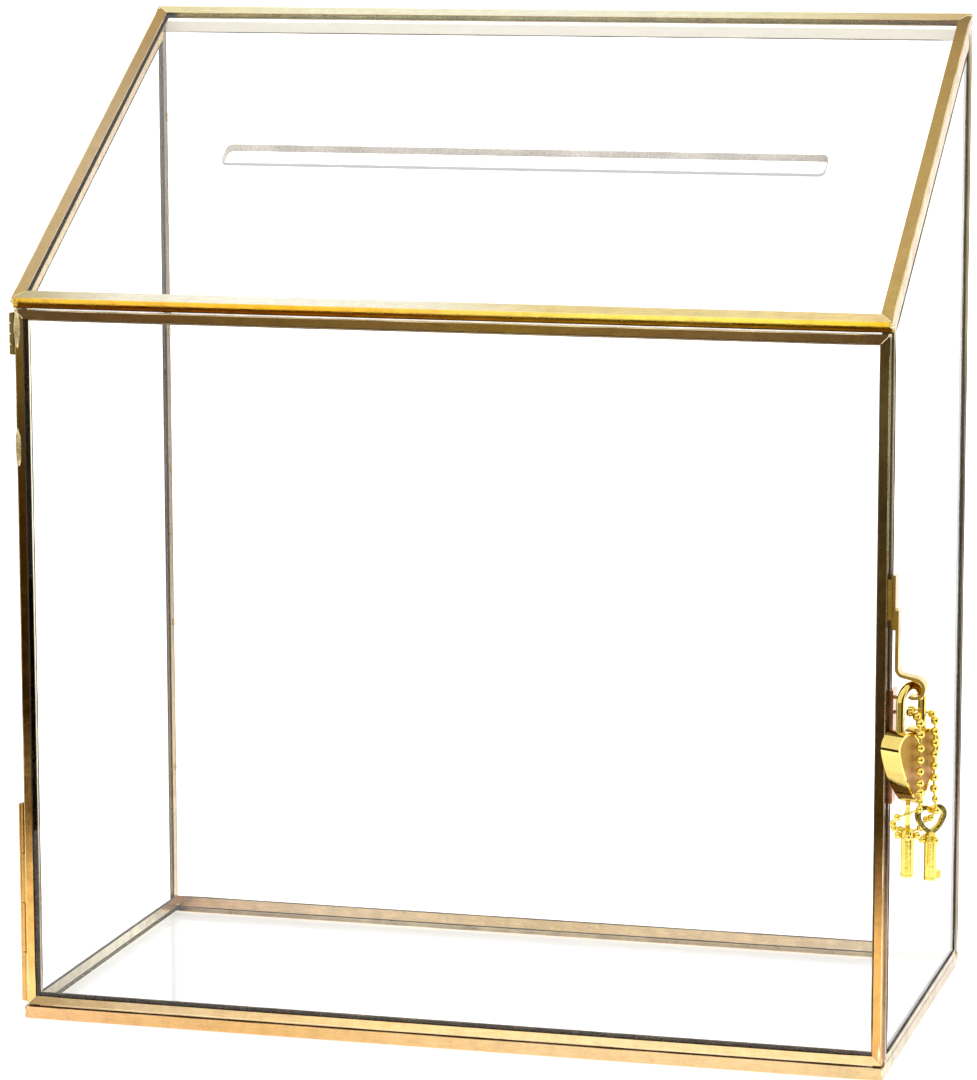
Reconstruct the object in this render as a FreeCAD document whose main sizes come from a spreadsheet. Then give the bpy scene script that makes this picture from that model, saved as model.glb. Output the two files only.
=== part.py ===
import FreeCAD, Part
import math
import os

# Glazed card box: six panes of glass, each bound in a mitred brass channel,
# a hinged front door, a hook-and-staple fastening, a heart padlock and two keys
# on a ball chain.  Millimetres.  +X to the right, +Y to the back, +Z up.
# Origin: centre of the footprint, on the plane the box stands on.

os.makedirs("parts", exist_ok=True)
doc = FreeCAD.newDocument("card_box")
V = FreeCAD.Vector

# ------------------------------------------------------------------ dimensions
sheet = doc.addObject("Spreadsheet::Sheet", "dims")
P = {}


def cell(alias, value):
    row = len(P) + 1
    sheet.set("A%d" % row, alias)
    sheet.set("B%d" % row, repr(round(float(value), 6)))
    sheet.setAlias("B%d" % row, alias)
    P[alias] = float(value)


# overall sizes
cell("box_width", 300.0)
cell("box_depth", 153.0)
cell("front_height", 250.0)
cell("back_height", 342.0)
cell("roof_run", 152.5)
# brass channel that binds each pane
cell("channel", 4.0)
cell("sheet_wall", 0.27)
cell("lip_outer", 3.0)
cell("lip_inner", 3.8)
cell("roof_lip_outer", 4.2)
cell("roof_lip_inner", 4.6)
cell("glass_thick", 3.0)
cell("glass_seat", 0.29)
cell("glass_edge_gap", 0.47)
# door
cell("door_left", -148.9)
cell("door_right", 149.5)
cell("door_bottom", 5.0)
cell("door_top", 246.0)
cell("door_gap", 0.3)
# card slot in the roof glass
cell("slot_length", 213.0)
cell("slot_width", 11.0)
cell("slot_centre_x", 7.5)
cell("slot_centre_y", 74.0)
cell("slot_corner", 2.2)
# hinges
cell("hinge_x", -150.4)
cell("hinge_y", 2.0)
cell("hinge_pin_radius", 0.6)
cell("hinge_bore_radius", 0.66)
cell("knuckle_radius", 1.25)
cell("knuckle_pitch", 17.5)
cell("knuckle_gap", 0.3)
cell("hinge_low_bottom", 5.6)
cell("hinge_high_bottom", 230.5)
cell("knuckle_pitch_high", 3.6)
# hasp
cell("strap_thick", 1.1)
cell("strap_width", 5.2)
cell("strap_middle_y", 4.08)
cell("strap_x", 152.55)
cell("eye_x", 158.4)
cell("eye_z", 131.0)
cell("eye_radius", 3.1)
cell("hasp_plate_thick", 1.2)
cell("staple_plate_thick", 1.1)
# padlock
cell("lock_turn", 29.0)
cell("lock_x", 157.15)
cell("lock_y", 4.08)
cell("case_thick", 7.4)
cell("lobe_radius", 5.6)
cell("lobe_offset", 5.15)
cell("lobe_z", 111.8)
cell("heart_tip_z", 93.1)
cell("shackle_wire", 1.4)
cell("shackle_half", 5.5)
cell("shackle_centre_z", 126.3)
cell("short_leg_z", 112.0)
cell("long_leg_z", 103.0)
cell("neck_radius", 0.95)
cell("plug_z", 104.3)
cell("plug_radius", 2.9)
cell("plug_flange", 3.5)
cell("plug_chamber", 3.7)
# chain and keys
cell("ball_radius", 1.25)
cell("link_radius", 0.4)
cell("key_bow_width", 11.2)
cell("key_bow_height", 10.0)
cell("key_bow_bar", 1.5)
cell("key_bow_thick", 1.6)
cell("key_barrel_radius", 2.1)
cell("key_barrel_bore", 0.95)
cell("key_length", 25.0)

W, D = P["box_width"], P["box_depth"]
T, WALL = P["channel"], P["sheet_wall"]
ROOF = math.degrees(math.atan((P["back_height"] - P["front_height"]) / D))
CA, SA, TA = (f(math.radians(ROOF)) for f in (math.cos, math.sin, math.tan))
YO = -D / 2.0  # the front plane in the model's own frame

# sizes that follow from the ones above
cell("roof_angle", ROOF)
cell("roof_length", P["roof_run"] / CA)
cell("side_depth", D - 2 * T - P["door_gap"])
Y0 = T + P["door_gap"]
Y1 = D - T
under = P["front_height"] - T / CA - 0.05  # underside of the roof at the front plane
cell("side_front_height", under + Y0 * TA - T)
cell("side_back_height", under + Y1 * TA - T)
cell("side_top_length", (Y1 - Y0) / CA)
cell("back_pane_height", under + Y1 * TA - T)
cell("door_width", P["door_right"] - P["door_left"])
cell("door_height", P["door_top"] - P["door_bottom"])
cell("strap_end_z", 156.5)
doc.recompute()

NODES = []


def keep(obj, label):
    obj.Label = label
    NODES.append(obj)
    return obj


def place(obj, origin, ex, ey, ez):
    m = FreeCAD.Matrix(
        ex[0], ey[0], ez[0], origin[0],
        ex[1], ey[1], ez[1], origin[1],
        ex[2], ey[2], ez[2], origin[2],
        0, 0, 0, 1)
    obj.Placement = FreeCAD.Placement(m)


def plane(body, role):
    return [o for o in body.Origin.OriginFeatures if o.Role == role][0]


def sketch_on(body, name, role="XY_Plane", offset=0.0, offset_expr=None):
    sk = body.newObject("Sketcher::SketchObject", name)
    sk.AttachmentSupport = [(plane(body, role), "")]
    sk.MapMode = "FlatFace"
    sk.AttachmentOffset = FreeCAD.Placement(V(0, 0, offset), FreeCAD.Rotation())
    if offset_expr:
        sk.setExpression("AttachmentOffset.Base.z", offset_expr)
    return sk


def pad(body, sk, name, length_expr, reverse=False):
    p = body.newObject("PartDesign::Pad", name)
    p.Profile = sk
    p.setExpression("Length", length_expr)
    p.Reversed = reverse
    return p


def pocket(body, sk, name, length_expr, reverse=False, through=False):
    p = body.newObject("PartDesign::Pocket", name)
    p.Profile = sk
    if through:
        p.Type = 1
        p.Midplane = True
    else:
        p.setExpression("Length", length_expr)
    p.Reversed = reverse
    return p


def add_edges(sk, edges):
    for e in edges:
        if isinstance(e.Curve, Part.Circle):
            a, b = e.FirstParameter, e.LastParameter
            if abs(b - a - 2 * math.pi) < 1e-6:
                sk.addGeometry(Part.Circle(e.Curve.Center, V(0, 0, 1), e.Curve.Radius), False)
            else:
                sk.addGeometry(Part.Arc(e.valueAt(a), e.valueAt((a + b) / 2), e.valueAt(b)), False)
        else:
            sk.addGeometry(Part.LineSegment(e.Vertexes[0].Point, e.Vertexes[-1].Point), False)


# ------------------------------------------------------------- glazing channel
def trapezoid(sk, length, width, cot_a, cot_b, length_expr, width_expr, a_expr, b_expr):
    """A mitred strip: the long edge on the X axis, the short edge at Y = width."""
    import Sketcher
    pts = [V(0, 0, 0), V(length, 0, 0), V(length - width * cot_b, width, 0), V(width * cot_a, width, 0)]
    for i in range(4):
        sk.addGeometry(Part.LineSegment(pts[i], pts[(i + 1) % 4]), False)
    for i in range(4):
        sk.addConstraint(Sketcher.Constraint("Coincident", i, 2, (i + 1) % 4, 1))
    sk.addConstraint(Sketcher.Constraint("Coincident", 0, 1, -1, 1))
    sk.addConstraint(Sketcher.Constraint("Horizontal", 0))
    sk.addConstraint(Sketcher.Constraint("Horizontal", 2))
    n = sk.addConstraint(Sketcher.Constraint("DistanceX", 0, 1, 0, 2, length))
    sk.setExpression("Constraints[%d]" % n, length_expr)
    n = sk.addConstraint(Sketcher.Constraint("DistanceY", 0, 2, 2, 1, width))
    sk.setExpression("Constraints[%d]" % n, width_expr)
    n = sk.addConstraint(Sketcher.Constraint("DistanceX", 0, 1, 2, 2, width * cot_a))
    sk.setExpression("Constraints[%d]" % n, "%s * %s" % (width_expr, a_expr))
    n = sk.addConstraint(Sketcher.Constraint("DistanceX", 2, 1, 0, 2, width * cot_b))
    sk.setExpression("Constraints[%d]" % n, "%s * %s" % (width_expr, b_expr))


def channel_bar(label, length_expr, length, cots, cot_exprs, outer, inner, origin, ex, ey, ez):
    """A U-section bar. Local X along it, Y towards the pane's middle, Z from its outer face inwards."""
    body = doc.addObject("PartDesign::Body", label + "_body")
    for tag, alias, off, off_expr, thick in (
        ("web", "sheet_wall", 0.0, None, "dims.channel"),
        ("front_lip", outer, 0.0, None, "dims.sheet_wall"),
        ("rear_lip", inner, T - WALL, "dims.channel - dims.sheet_wall", "dims.sheet_wall"),
    ):
        sk = sketch_on(body, label + "_" + tag + "_sketch", "XY_Plane", off, off_expr)
        trapezoid(sk, length, P[alias], cots[0], cots[1], length_expr, "dims." + alias,
                  cot_exprs[0], cot_exprs[1])
        pad(body, sk, label + "_" + tag, thick)
    keep(body, label)
    place(body, origin, ex, ey, ez)
    return body


def pane_frame(prefix, corners, outward, names, length_exprs, outer="lip_outer", inner="lip_inner"):
    """Four bars round a pane. corners run so that outward x edge points out of the pane."""
    n = V(*outward)
    ez = n * -1
    pts = [V(*c) for c in corners]
    mid = (pts[0] + pts[1] + pts[2] + pts[3]) * 0.25
    count = len(pts)
    angles = []
    for i in range(count):
        a = (pts[i - 1] - pts[i]).normalize()
        b = (pts[(i + 1) % count] - pts[i]).normalize()
        angles.append(math.degrees(math.acos(max(-1, min(1, a.dot(b))))))
    for i in range(count):
        p, q = pts[i], pts[(i + 1) % count]
        ex = (q - p)
        length = ex.Length
        ex.normalize()
        ey = ez.cross(ex)
        if ey.dot(mid - p) < 0:
            raise ValueError("corners of %s run the wrong way" % prefix)
        cots, exprs = [], []
        for ang in (angles[i], angles[(i + 1) % count]):
            cots.append(1 / math.tan(math.radians(ang / 2)))
            if abs(ang - 90) < 1e-6:
                exprs.append("1")
            elif ang > 90:
                exprs.append("tan(45 deg - dims.roof_angle * 1 deg / 2)")
            else:
                exprs.append("tan(45 deg + dims.roof_angle * 1 deg / 2)")
        channel_bar("%s_%s_channel" % (prefix, names[i]), length_exprs[i], length, cots, exprs,
                    outer, inner, p, ex, ey, ez)


def pane_glass(label, corners, outward, slot=None):
    """A sheet of glass set back from the pane's outline, seated just behind the front lip."""
    n = V(*outward)
    ez = n * -1
    pts = [V(*c) for c in corners]
    ex = (pts[1] - pts[0]).normalize()
    ey = ez.cross(ex)
    flat = [V((p - pts[0]).dot(ex), (p - pts[0]).dot(ey), 0) for p in pts]
    wire = Part.makePolygon(flat + [flat[0]])
    inset = wire.makeOffset2D(-P["glass_edge_gap"], 2)
    body = doc.addObject("PartDesign::Body", label + "_body")
    sk = sketch_on(body, label + "_sketch", "XY_Plane", P["glass_seat"], "dims.glass_seat")
    add_edges(sk, inset.Edges)
    pad(body, sk, label + "_pad", "dims.glass_thick")
    if slot:
        cx, cy, half, wide, rad = slot
        sk = sketch_on(body, label + "_slot_sketch", "XY_Plane", 0.0)
        x0, x1, y0, y1 = cx - half, cx + half, cy - wide / 2, cy + wide / 2
        k = rad * (1 - math.sqrt(0.5))
        g = [
            Part.LineSegment(V(x0 + rad, y0, 0), V(x1 - rad, y0, 0)),
            Part.Arc(V(x1 - rad, y0, 0), V(x1 - k, y0 + k, 0), V(x1, y0 + rad, 0)),
            Part.LineSegment(V(x1, y0 + rad, 0), V(x1, y1 - rad, 0)),
            Part.Arc(V(x1, y1 - rad, 0), V(x1 - k, y1 - k, 0), V(x1 - rad, y1, 0)),
            Part.LineSegment(V(x1 - rad, y1, 0), V(x0 + rad, y1, 0)),
            Part.Arc(V(x0 + rad, y1, 0), V(x0 + k, y1 - k, 0), V(x0, y1 - rad, 0)),
            Part.LineSegment(V(x0, y1 - rad, 0), V(x0, y0 + rad, 0)),
            Part.Arc(V(x0, y0 + rad, 0), V(x0 + k, y0 + k, 0), V(x0 + rad, y0, 0)),
        ]
        for one in g:
            sk.addGeometry(one, False)
        pocket(body, sk, label + "_slot", None, through=True)
    keep(body, label)
    place(body, pts[0], ex, ey, ez)
    return body


hw = W / 2.0
yf, yb = YO, YO + D

# bottom pane, the whole footprint, face down
bottom = [(-hw, yf, 0), (hw, yf, 0), (hw, yb, 0), (-hw, yb, 0)]
pane_frame("bottom", bottom, (0, 0, -1), ["front", "right", "rear", "left"],
           ["dims.box_width", "dims.box_depth", "dims.box_width", "dims.box_depth"])
# its four bars are soldered into one ring, flat underneath, that the box stands on
bars = NODES[-4:]
del NODES[-4:]
ring = doc.addObject("Part::MultiFuse", "bottom_binding_fuse")
ring.Shapes = bars
ring.Refine = True
keep(ring, "bottom_binding")
pane_glass("bottom_glass", bottom, (0, 0, -1))

# rear pane, full width, standing on the bottom pane
zt = T + P["back_pane_height"]
rear = [(-hw, yb, T), (hw, yb, T), (hw, yb, zt), (-hw, yb, zt)]
pane_frame("rear", rear, (0, 1, 0), ["bottom", "right", "top", "left"],
           ["dims.box_width", "dims.back_pane_height", "dims.box_width", "dims.back_pane_height"])
pane_glass("rear_glass", rear, (0, 1, 0))

# left and right panes, four-sided with a sloping top, behind the door and in front of the rear pane
ys, ye = YO + Y0, YO + Y1
zs, ze = T + P["side_front_height"], T + P["side_back_height"]
left = [(-hw, ys, T), (-hw, ye, T), (-hw, ye, ze), (-hw, ys, zs)]
pane_frame("left", left, (-1, 0, 0), ["bottom", "rear", "top", "front"],
           ["dims.side_depth", "dims.side_back_height", "dims.side_top_length", "dims.side_front_height"])
pane_glass("left_glass", left, (-1, 0, 0))
right = [(hw, ye, T), (hw, ys, T), (hw, ys, zs), (hw, ye, ze)]
pane_frame("right", right, (1, 0, 0), ["bottom", "front", "top", "rear"],
           ["dims.side_depth", "dims.side_front_height", "dims.side_top_length", "dims.side_back_height"])
pane_glass("right_glass", right, (1, 0, 0))

# sloping roof pane with the card slot
rl = P["roof_length"]
zf = P["front_height"]
roof = [(hw, yf, zf), (-hw, yf, zf), (-hw, yf + rl * CA, zf + rl * SA), (hw, yf + rl * CA, zf + rl * SA)]
pane_frame("roof", roof, (0, -SA, CA), ["front", "left", "rear", "right"],
           ["dims.box_width", "dims.roof_length", "dims.box_width", "dims.roof_length"],
           "roof_lip_outer", "roof_lip_inner")
# the slot is centred in plan at slot_centre_x, slot_centre_y
slot_v = P["slot_centre_y"] / CA
pane_glass("roof_glass", roof, (0, -SA, CA),
           slot=(hw - P["slot_centre_x"], slot_v, P["slot_length"] / 2, P["slot_width"], P["slot_corner"]))

# front door
dl, dr, db, dt = P["door_left"], P["door_right"], P["door_bottom"], P["door_top"]
door = [(dr, yf, db), (dl, yf, db), (dl, yf, dt), (dr, yf, dt)]
pane_frame("door", door, (0, -1, 0), ["bottom", "left", "top", "right"],
           ["dims.door_width", "dims.door_height", "dims.door_width", "dims.door_height"])
pane_glass("door_glass", door, (0, -1, 0))


# --------------------------------------------------------------- simple solids
def cylinder(name, radius_expr, height, pos, axis=(0, 0, 1)):
    c = doc.addObject("Part::Cylinder", name)
    c.setExpression("Radius", radius_expr)
    c.Height = height
    c.Placement = FreeCAD.Placement(V(*pos), FreeCAD.Rotation(V(0, 0, 1), V(*axis)))
    return c


def box(name, lo, hi):
    b = doc.addObject("Part::Box", name)
    b.Length, b.Width, b.Height = hi[0] - lo[0], hi[1] - lo[1], hi[2] - lo[2]
    b.Placement = FreeCAD.Placement(V(*lo), FreeCAD.Rotation())
    return b


def fuse(name, parts):
    f = doc.addObject("Part::MultiFuse", name)
    f.Shapes = parts
    return f


def cut(name, base, tool):
    c = doc.addObject("Part::Cut", name)
    c.Base, c.Tool = base, tool
    return c


# --------------------------------------------------------------------- hinges
hx, hy = P["hinge_x"], YO + P["hinge_y"]
kg = P["knuckle_gap"]


def hinge(prefix, z0, kp):
    """Four soldered tube knuckles on one pin; the frame holds the second and fourth from below."""
    total = 4 * kp
    body_parts = [box(prefix + "_frame_plate", (-hw - 0.6, hy + 1.6, z0), (-hw, hy + 9.0, z0 + total))]
    door_parts = []
    for i in range(4):
        a, b = z0 + i * kp + kg / 2, z0 + (i + 1) * kp - kg / 2
        tube = cylinder(prefix + "_knuckle_%d" % i, "dims.knuckle_radius", b - a, (hx, hy, a))
        if i % 2 == 1:
            body_parts += [tube, box(prefix + "_bridge_%d" % i, (-hw - 0.6, hy, a), (-hw, hy + 2.0, b))]
        else:
            door_parts += [tube, box(prefix + "_tab_%d" % i, (dl - 0.6, hy - 1.6, a), (dl, hy + 1.6, b))]
    door_parts.append(box(prefix + "_door_strip", (dl - 0.12, hy - 1.6, z0 + 0.2), (dl, hy + 1.6, z0 + 3 * kp - 0.2)))
    bore_a = cylinder(prefix + "_bore_a", "dims.hinge_bore_radius", total + 2, (hx, hy, z0 - 1))
    bore_b = cylinder(prefix + "_bore_b", "dims.hinge_bore_radius", total + 2, (hx, hy, z0 - 1))
    keep(cut(prefix + "_frame_leaf_cut", fuse(prefix + "_frame_leaf_fuse", body_parts), bore_a), prefix + "_frame_leaf")
    keep(cut(prefix + "_door_leaf_cut", fuse(prefix + "_door_leaf_fuse", door_parts), bore_b), prefix + "_door_leaf")
    keep(cylinder(prefix + "_pin_rod", "dims.hinge_pin_radius", total, (hx, hy, z0)), prefix + "_pin")


hinge("lower_hinge", P["hinge_low_bottom"], P["knuckle_pitch"])
hinge("upper_hinge", P["hinge_high_bottom"], P["knuckle_pitch_high"])

# ----------------------------------------------------------------------- hasp
sw, st = P["strap_width"], P["strap_thick"]
sy0 = YO + P["strap_middle_y"] - sw / 2
# plate soldered to the door's edge through a thick pad
hp = P["hasp_plate_thick"]
plate_x1 = P["strap_x"] - st / 2
hasp_plate = fuse("hasp_plate_fuse", [
    box("hasp_plate_sheet", (plate_x1 - hp, sy0, 150.0), (plate_x1, sy0 + sw, 167.9)),
    box("hasp_plate_pad", (dr, YO + 0.5, 153.5), (plate_x1 - hp + 0.2, YO + 3.9, 166.8)),
])
keep(hasp_plate, "hasp_plate")


# strap: straight down the plate, out in an S-bend and back round in an open eye
def offset_path(steps, start, heading, half):
    """Edges of a strip of half-width half about a path of tangent lines and arcs."""
    left_side, right_side = [], []
    p = V(start[0], start[1], 0)
    h = math.radians(heading)

    def nrm(a):
        return V(-math.sin(a), math.cos(a), 0)
    first = (p + nrm(h) * half, p - nrm(h) * half)
    for kind, value, radius in steps:
        if kind == "line":
            q = p + V(math.cos(h), math.sin(h), 0) * value
            left_side.append(Part.makeLine(p + nrm(h) * half, q + nrm(h) * half))
            right_side.append(Part.makeLine(p - nrm(h) * half, q - nrm(h) * half))
        else:
            turn = math.radians(value)
            side = 1 if turn > 0 else -1
            c = p + nrm(h) * radius * side
            h2, hm = h + turn, h + turn / 2
            for store, off in ((left_side, half), (right_side, -half)):
                rr = radius - side * off
                a0, a1, a2 = (c - nrm(x) * rr * side for x in (h, hm, h2))
                store.append(Part.Arc(a0, a1, a2).toShape())
            q = c - nrm(h2) * radius * side
            h = h2
        p = q
    last = (p + nrm(h) * half, p - nrm(h) * half)
    return left_side, right_side, first, last


ex_, ez_, er = P["eye_x"], P["eye_z"], P["eye_radius"]
slope_h = -12.0
r1 = 2.6
sx = P["strap_x"]
h12 = math.radians(slope_h)
on_eye = (ex_ - er * math.sin(h12), ez_ + er * math.cos(h12))
bend_x = sx + r1 + r1 * math.sin(h12)
run = (on_eye[0] - bend_x) / math.cos(h12)
bend_z = on_eye[1] - run * math.sin(h12)
z_turn = bend_z + r1 * math.cos(h12)
ls, rs, first, last = offset_path(
    [("line", P["strap_end_z"] - z_turn, 0), ("arc", 90 + slope_h, r1), ("line", run, 0), ("arc", -203, er)],
    (sx, P["strap_end_z"]), -90, st / 2)
strap = doc.addObject("PartDesign::Body", "hasp_strap_body")
sk = sketch_on(strap, "hasp_strap_profile", "XY_Plane")
add_edges(sk, ls + [Part.makeLine(last[0], last[1])] + rs + [Part.makeLine(first[0], first[1])])
pad(strap, sk, "hasp_strap_pad", "dims.strap_width")
keep(strap, "hasp_strap")
# profile X, Y are the model's X, Z; the pad runs towards -Y
place(strap, (0, sy0 + sw, 0), (1, 0, 0), (0, 0, 1), (0, -1, 0))

# plate and wire staple on the box's own front right upright
sp = P["staple_plate_thick"]
staple_plate = box("staple_plate_sheet", (hw, YO + Y0 + 0.5, 92.0), (hw + sp, YO + Y0 + 0.5 + 7.0, 129.5))
keep(staple_plate, "staple_plate")
loop_y = YO + Y0 + 2.6
torus = doc.addObject("Part::Torus", "staple_loop_ring")
torus.Radius1, torus.Radius2 = 2.5, 0.6
torus.Placement = FreeCAD.Placement(V(hw + sp, loop_y, 124.6), FreeCAD.Rotation(V(0, 0, 1), V(0, 1, 0)))
keep_half = box("staple_loop_half", (hw + sp, loop_y - 2, 120.0), (hw + sp + 6, loop_y + 2, 130.0))
loop = doc.addObject("Part::Common", "staple_loop_common")
loop.Base, loop.Tool = torus, keep_half
keep(loop, "staple_loop")

# -------------------------------------------------------------------- padlock
lt = math.radians(P["lock_turn"])
S = (math.sin(lt), math.cos(lt), 0)      # across the lock's width
N = (math.cos(lt), -math.sin(lt), 0)     # out of its face
LX, LY = P["lock_x"], YO + P["lock_y"]


def lock_point(s_, n_, z_):
    return (LX + S[0] * s_ + N[0] * n_, LY + S[1] * s_ + N[1] * n_, z_)


def lock_place(body):
    place(body, (LX, LY, 0), S, (0, 0, 1), N)


def heart(cx, zc, lobe, off, tip, tip_half=1.1):
    """Closed heart outline of arcs, upright, lobes of radius lobe centred off to either side."""
    ang = math.radians(-15)
    right_p = V(cx + off + lobe * math.cos(ang), zc + lobe * math.sin(ang), 0)
    end = V(cx + tip_half, tip + 0.42 * tip_half, 0)
    chord = end - right_p
    h0 = math.radians(-105)
    hc = math.atan2(chord.y, chord.x)
    turn = 2 * (hc - h0)
    radius = abs(chord.Length / (2 * math.sin(turn / 2)))
    # middle of an arc that starts in direction h0 and bulges outwards
    sag = radius * (1 - math.cos(turn / 2))
    outn = V(-math.sin(hc), math.cos(hc), 0)
    if outn.x < 0:
        outn = outn * -1
    midp = right_p + chord * 0.5 + outn * sag
    notch_z = zc + math.sqrt(lobe ** 2 - off ** 2)
    notch = V(cx, notch_z, 0)
    a_n = math.atan2(notch_z - zc, -off)
    a_m = (a_n + ang) / 2
    lobe_mid = V(cx + off + lobe * math.cos(a_m), zc + lobe * math.sin(a_m), 0)

    def flip(p):
        return V(2 * cx - p.x, p.y, 0)
    return Part.Wire([
        Part.Arc(notch, lobe_mid, right_p).toShape(),
        Part.Arc(right_p, midp, end).toShape(),
        Part.Arc(end, V(cx, tip, 0), flip(end)).toShape(),
        Part.Arc(flip(end), flip(midp), flip(right_p)).toShape(),
        Part.Arc(flip(right_p), flip(lobe_mid), notch).toShape(),
    ])


outline = heart(0, P["lobe_z"], P["lobe_radius"], P["lobe_offset"], P["heart_tip_z"])
ct = P["case_thick"]
sh, wr = P["shackle_half"], P["shackle_wire"]

# cast case: solid heart with a rebate for its face plate, two leg bores, the plug's chamber
# and the latch's channel
case = doc.addObject("PartDesign::Body", "lock_case_body")
sk = sketch_on(case, "lock_case_outline", "XY_Plane", -ct / 2, "-dims.case_thick / 2")
add_edges(sk, outline.Edges)
case_pad = pad(case, sk, "lock_case_pad", "dims.case_thick")
doc.recompute()
rim = [i for i, e in enumerate(case_pad.Shape.Edges, 1)
       if abs(abs(e.CenterOfMass.z) - ct / 2) < 1e-3]
fil = case.newObject("PartDesign::Fillet", "lock_case_rim")
fil.Base = (case_pad, ["Edge%d" % i for i in rim])
fil.Radius = 0.6
doc.recompute()
if "Invalid" in fil.State or "Error" in fil.State or fil.Shape.isNull() or not fil.Shape.isValid():
    case.removeObject(fil)
    doc.removeObject(fil.Name)
    case.Tip = case_pad
    doc.recompute()
sk = sketch_on(case, "lock_face_rebate_sketch", "XY_Plane", ct / 2, "dims.case_thick / 2")
add_edges(sk, outline.makeOffset2D(-0.9).Edges)
pocket(case, sk, "lock_face_rebate", "1")
sk = sketch_on(case, "plug_chamber_sketch", "XY_Plane", 2.7)
sk.addGeometry(Part.Circle(V(0, P["plug_z"], 0), V(0, 0, 1), P["plug_chamber"]), False)
pocket(case, sk, "plug_chamber", "5.2")
sk = sketch_on(case, "plug_bore_sketch", "XY_Plane", 0)
sk.addGeometry(Part.Circle(V(0, P["plug_z"], 0), V(0, 0, 1), P["plug_radius"] + 0.06), False)
pocket(case, sk, "plug_bore", "5")
sk = sketch_on(case, "latch_channel_sketch", "XY_Plane", 1.15)
lz0, lz1 = 108.6, 110.9
for a, b in (((-4.2, lz0), (2.2, lz0)), ((2.2, lz0), (2.2, lz1)), ((2.2, lz1), (-4.2, lz1)), ((-4.2, lz1), (-4.2, lz0))):
    sk.addGeometry(Part.LineSegment(V(a[0], a[1], 0), V(b[0], b[1], 0)), False)
pocket(case, sk, "latch_channel", "2.3")
sk = sketch_on(case, "latch_tail_slot_sketch", "XY_Plane", 0.8)
for a, b in (((-2.6, 107.2), (0.6, 107.2)), ((0.6, 107.2), (0.6, 109.0)), ((0.6, 109.0), (-2.6, 109.0)), ((-2.6, 109.0), (-2.6, 107.2))):
    sk.addGeometry(Part.LineSegment(V(a[0], a[1], 0), V(b[0], b[1], 0)), False)
pocket(case, sk, "latch_tail_slot", "1.6")
# leg bores, from the top down (the XZ plane of the body is level)
for tag, sx_, depth in (("short", -sh, P["lobe_z"] + P["lobe_radius"] + 1 - 111.4),
                        ("long", sh, P["lobe_z"] + P["lobe_radius"] + 1 - 100.4)):
    sk = case.newObject("Sketcher::SketchObject", "leg_bore_%s_sketch" % tag)
    sk.AttachmentSupport = [(plane(case, "XZ_Plane"), "")]
    sk.MapMode = "FlatFace"
    top = P["lobe_z"] + P["lobe_radius"] + 1
    sk.AttachmentOffset = FreeCAD.Placement(V(0, 0, -top), FreeCAD.Rotation())
    sk.addGeometry(Part.Circle(V(sx_, 0, 0), V(0, 0, 1), wr + 0.1), False)
    b = case.newObject("PartDesign::Pocket", "leg_bore_" + tag)
    b.Profile = sk
    b.Length = depth
    b.Reversed = False
    doc.recompute()
    before = case_pad.Shape.Volume
    if b.Shape.isNull() or "Invalid" in b.State or b.Shape.Volume > b.getPropertyByName("BaseFeature").Shape.Volume - 5:
        b.Reversed = True
        doc.recompute()
# cross hole for the retaining pin
pin_s, pin_z, pin_r = sh - 0.95 - 0.06 - 0.5, 110.0, 0.5
sk = sketch_on(case, "retaining_pin_hole_sketch", "XY_Plane", 2.7)
sk.addGeometry(Part.Circle(V(pin_s, pin_z, 0), V(0, 0, 1), pin_r), False)
pocket(case, sk, "retaining_pin_hole", "5.4")
keep(case, "lock_case")
lock_place(case)

face = doc.addObject("PartDesign::Body", "lock_face_body")
sk = sketch_on(face, "lock_face_outline", "XY_Plane", 2.72)
add_edges(sk, outline.makeOffset2D(-0.95).Edges)
pad(face, sk, "lock_face_pad", "0.8")
keep(face, "lock_face_plate")
lock_place(face)

rpin = doc.addObject("PartDesign::Body", "retaining_pin_body")
sk = sketch_on(rpin, "retaining_pin_outline", "XY_Plane", -2.68)
sk.addGeometry(Part.Circle(V(pin_s, pin_z, 0), V(0, 0, 1), pin_r), False)
pad(rpin, sk, "retaining_pin_pad", "5.3")
keep(rpin, "retaining_pin")
lock_place(rpin)

# key plug: disc in the rear wall, flange behind it, round keyway with a centre post and a bit slot
pz = P["plug_z"]
plug = doc.addObject("PartDesign::Body", "key_plug_body")
sk = sketch_on(plug, "key_plug_disc_sketch", "XY_Plane", -3.65)
sk.addGeometry(Part.Circle(V(0, pz, 0), V(0, 0, 1), P["plug_radius"]), False)
pad(plug, sk, "key_plug_disc", "1.3")
sk = sketch_on(plug, "key_plug_flange_sketch", "XY_Plane", -2.42)
sk.addGeometry(Part.Circle(V(0, pz, 0), V(0, 0, 1), P["plug_flange"]), False)
pad(plug, sk, "key_plug_flange", "2.9")
sk = sketch_on(plug, "key_plug_keyway_sketch", "XY_Plane", -0.6)
sk.addGeometry(Part.Circle(V(0, pz, 0), V(0, 0, 1), P["key_barrel_radius"] + 0.15), False)
pocket(plug, sk, "key_plug_keyway", "3.2")
sk = sketch_on(plug, "key_plug_post_sketch", "XY_Plane", -3.3)
sk.addGeometry(Part.Circle(V(0, pz, 0), V(0, 0, 1), P["key_barrel_bore"] - 0.1), False)
pad(plug, sk, "key_plug_post", "3")
keep(plug, "key_plug")
lock_place(plug)

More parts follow.
